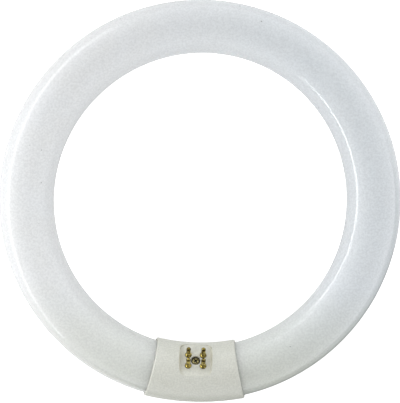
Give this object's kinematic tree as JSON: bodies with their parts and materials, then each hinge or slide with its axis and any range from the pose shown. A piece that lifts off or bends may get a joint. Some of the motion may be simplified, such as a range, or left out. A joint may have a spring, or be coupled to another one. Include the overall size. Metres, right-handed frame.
{
  "type": "circular fluorescent tube",
  "caption": "Ring-shaped white fluorescent lamp: a sealed glass tube whose ends meet in a moulded base with a sunken floor, brass contact pins and a centre screw.",
  "frame": {"origin": "centre of the glass ring, on the plane through the middle of the tube", "axes": "+Z along the ring's axis, towards the side that the pins lean to; the base is at -Y"},
  "size_m": [0.215, 0.216, 0.0326],
  "materials": {
    "coated_glass": "glossy clear glass over a white powder coating on its inside, opaque",
    "base_plastic": "moulded off-white plastic with a soft gloss",
    "pin_brass": "drawn brass, slightly dulled",
    "screw_brass": "yellow plated screw, darker in its recess",
    "wire_metal": "plain plated wire"
  },
  "bodies": {
    "root": {"glass_tube": "coated_glass", "base_front_shell": "base_plastic", "base_back_shell": "base_plastic", "clamp_screw": "screw_brass", "contact_pin_1": "pin_brass", "contact_pin_2": "pin_brass", "contact_pin_3": "pin_brass", "contact_pin_4": "pin_brass", "lead_wire_1": "wire_metal", "lead_wire_2": "wire_metal", "lead_wire_3": "wire_metal", "lead_wire_4": "wire_metal"}
  },
  "joints": []
}
